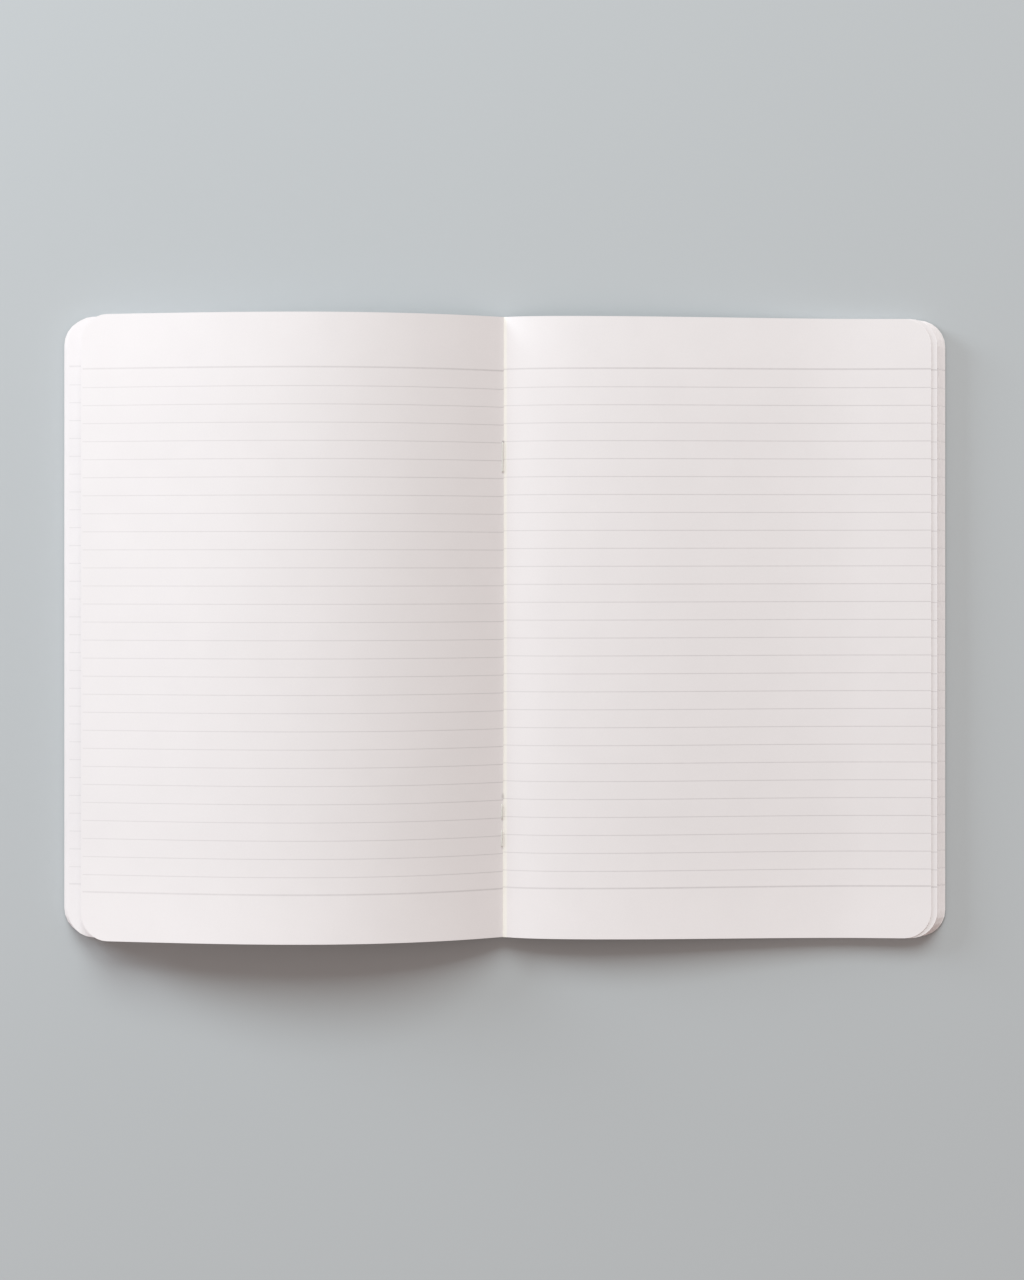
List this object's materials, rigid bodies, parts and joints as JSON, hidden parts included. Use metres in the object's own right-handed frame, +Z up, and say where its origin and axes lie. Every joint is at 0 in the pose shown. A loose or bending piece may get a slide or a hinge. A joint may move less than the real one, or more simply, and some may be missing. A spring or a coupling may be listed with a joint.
{
  "type": "open composition notebook",
  "caption": "Sewn ruled notebook with soft card covers and a taped spine, lying open at its middle, with its upper left leaves standing in an arch.",
  "frame": {"origin": "on the table under the fold, at the middle of the page height", "axes": "+X to the right page across the spine, +Y to the head of the pages, +Z up"},
  "size_m": [0.3544, 0.2476, 0.0258],
  "materials": {
    "paper": "uncoated writing paper with faint grey rules",
    "thread": "twisted cotton",
    "tape": "fine black book cloth",
    "cover_card": "plain charcoal card, matte"
  },
  "bodies": {
    "book_block": {"page_block": "paper", "sewing_thread": "thread", "spine_tape": "tape"},
    "front_cover": {"front_cover": "cover_card"},
    "back_cover": {"back_cover": "cover_card"}
  },
  "joints": [
    {"name": "front_cover_hinge", "type": "hinge", "parent": "book_block", "child": "front_cover", "pos_m": [-0.005, 0, 0.00364], "axis": [0, -1, 0], "range_deg": [0, 90]},
    {"name": "back_cover_hinge", "type": "hinge", "parent": "book_block", "child": "back_cover", "pos_m": [0.005, 0, 0.00364], "axis": [0, 1, 0], "range_deg": [0, 90]}
  ]
}
